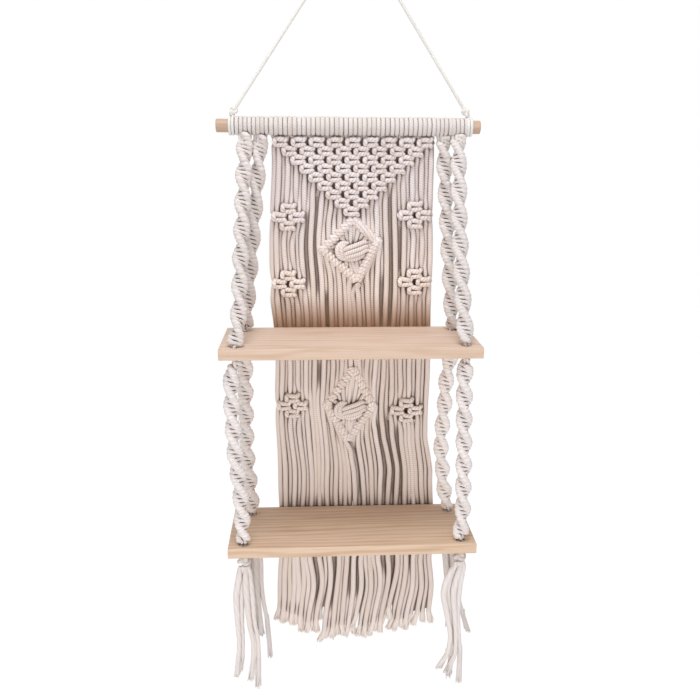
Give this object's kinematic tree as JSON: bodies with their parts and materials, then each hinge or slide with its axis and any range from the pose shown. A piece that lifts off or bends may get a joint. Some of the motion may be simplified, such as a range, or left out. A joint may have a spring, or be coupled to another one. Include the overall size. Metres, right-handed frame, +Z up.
{
  "type": "hanging rope shelf",
  "caption": "Wall-hung shelf: drilled pine boards on spirally knotted cotton ropes from a wrapped dowel, with a macrame cord panel behind and a cord hanger above.",
  "frame": {"origin": "where the underside of the hanger cord rests on its wall hook", "axes": "+Z up, -Y towards the front of the boards, +X to the viewer's right"},
  "size_m": [0.365, 0.1441, 1.0638],
  "materials": {
    "pine_board": "planed and sanded pine with a clear matt finish",
    "dowel_wood": "sanded round hardwood dowel, unfinished",
    "cotton_rope": "natural three-ply twisted cotton, matt and slightly hairy",
    "panel_cord": "natural three-ply twisted cotton, matt"
  },
  "bodies": {
    "hanger_and_dowel": {"dowel": "dowel_wood", "hanger_cord": "cotton_rope", "hanger_knot_left": "cotton_rope", "hanger_knot_right": "cotton_rope", "panel_loops": "panel_cord", "rope_loops_left_inner": "cotton_rope", "rope_loops_left_outer": "cotton_rope", "rope_loops_right_inner": "cotton_rope", "rope_loops_right_outer": "cotton_rope"},
    "cord_panel": {"knot_triangle": "panel_cord", "left_flower_upper": "panel_cord", "left_flower_middle": "panel_cord", "left_flower_lower": "panel_cord", "right_flower_upper": "panel_cord", "right_flower_middle": "panel_cord", "right_flower_lower": "panel_cord", "upper_diamond": "panel_cord", "lower_diamond": "panel_cord"},
    "upper_board": {"upper_shelf": "pine_board", "upper_rope_front_left": "cotton_rope", "upper_rope_front_right": "cotton_rope", "upper_rope_rear_left": "cotton_rope", "upper_rope_rear_right": "cotton_rope"},
    "lower_front_ropes": {"lower_rope_front_left": "cotton_rope", "lower_rope_front_right": "cotton_rope"},
    "lower_rear_ropes": {"lower_rope_rear_left": "cotton_rope", "lower_rope_rear_right": "cotton_rope"},
    "lower_board": {"lower_shelf": "pine_board", "stopper_knot_front_left": "cotton_rope", "stopper_knot_front_right": "cotton_rope", "stopper_knot_rear_left": "cotton_rope", "stopper_knot_rear_right": "cotton_rope"},
    "front_left_tassel": {"tassel_front_left": "cotton_rope"},
    "front_right_tassel": {"tassel_front_right": "cotton_rope"},
    "rear_left_tassel": {"tassel_rear_left": "cotton_rope"},
    "rear_right_tassel": {"tassel_rear_right": "cotton_rope"}
  },
  "joints": [
    {"name": "panel_swing", "type": "hinge", "parent": "hanger_and_dowel", "child": "cord_panel", "pos_m": [-0.0064, 0, -0.2464], "axis": [1, 0, 0], "range_deg": [0, 20]},
    {"name": "shelf_swing", "type": "hinge", "parent": "hanger_and_dowel", "child": "upper_board", "pos_m": [-0.0064, 0, -0.2464], "axis": [-1, 0, 0], "range_deg": [0, 25]},
    {"name": "lower_front_swing", "type": "hinge", "parent": "upper_board", "child": "lower_front_ropes", "pos_m": [-0.0064, -0.117, -0.5508], "axis": [-1, 0, 0], "range_deg": [0, 15]},
    {"name": "lower_rear_swing", "type": "hinge", "parent": "upper_board", "child": "lower_rear_ropes", "pos_m": [-0.0064, -0.0225, -0.5508], "axis": [-1, 0, 0], "range_deg": [0, 15]},
    {"name": "lower_board_level", "type": "hinge", "parent": "lower_front_ropes", "child": "lower_board", "pos_m": [-0.0064, -0.117, -0.8102], "axis": [-1, 0, 0], "range_deg": [-15, 0]},
    {"name": "front_left_tassel_swing", "type": "hinge", "parent": "lower_board", "child": "front_left_tassel", "pos_m": [-0.1604, -0.117, -0.8531], "axis": [0, 1, 0], "range_deg": [-15, 15]},
    {"name": "front_right_tassel_swing", "type": "hinge", "parent": "lower_board", "child": "front_right_tassel", "pos_m": [0.1476, -0.117, -0.8531], "axis": [0, 1, 0], "range_deg": [-15, 15]},
    {"name": "rear_left_tassel_swing", "type": "hinge", "parent": "lower_board", "child": "rear_left_tassel", "pos_m": [-0.1534, -0.0225, -0.8531], "axis": [0, 1, 0], "range_deg": [-15, 15]},
    {"name": "rear_right_tassel_swing", "type": "hinge", "parent": "lower_board", "child": "rear_right_tassel", "pos_m": [0.1456, -0.0225, -0.8531], "axis": [0, 1, 0], "range_deg": [-15, 15]}
  ],
  "couplings": [
    {"joint": "lower_rear_swing", "follows": "lower_front_swing", "ratio": 1},
    {"joint": "lower_board_level", "follows": "lower_front_swing", "ratio": -1}
  ]
}
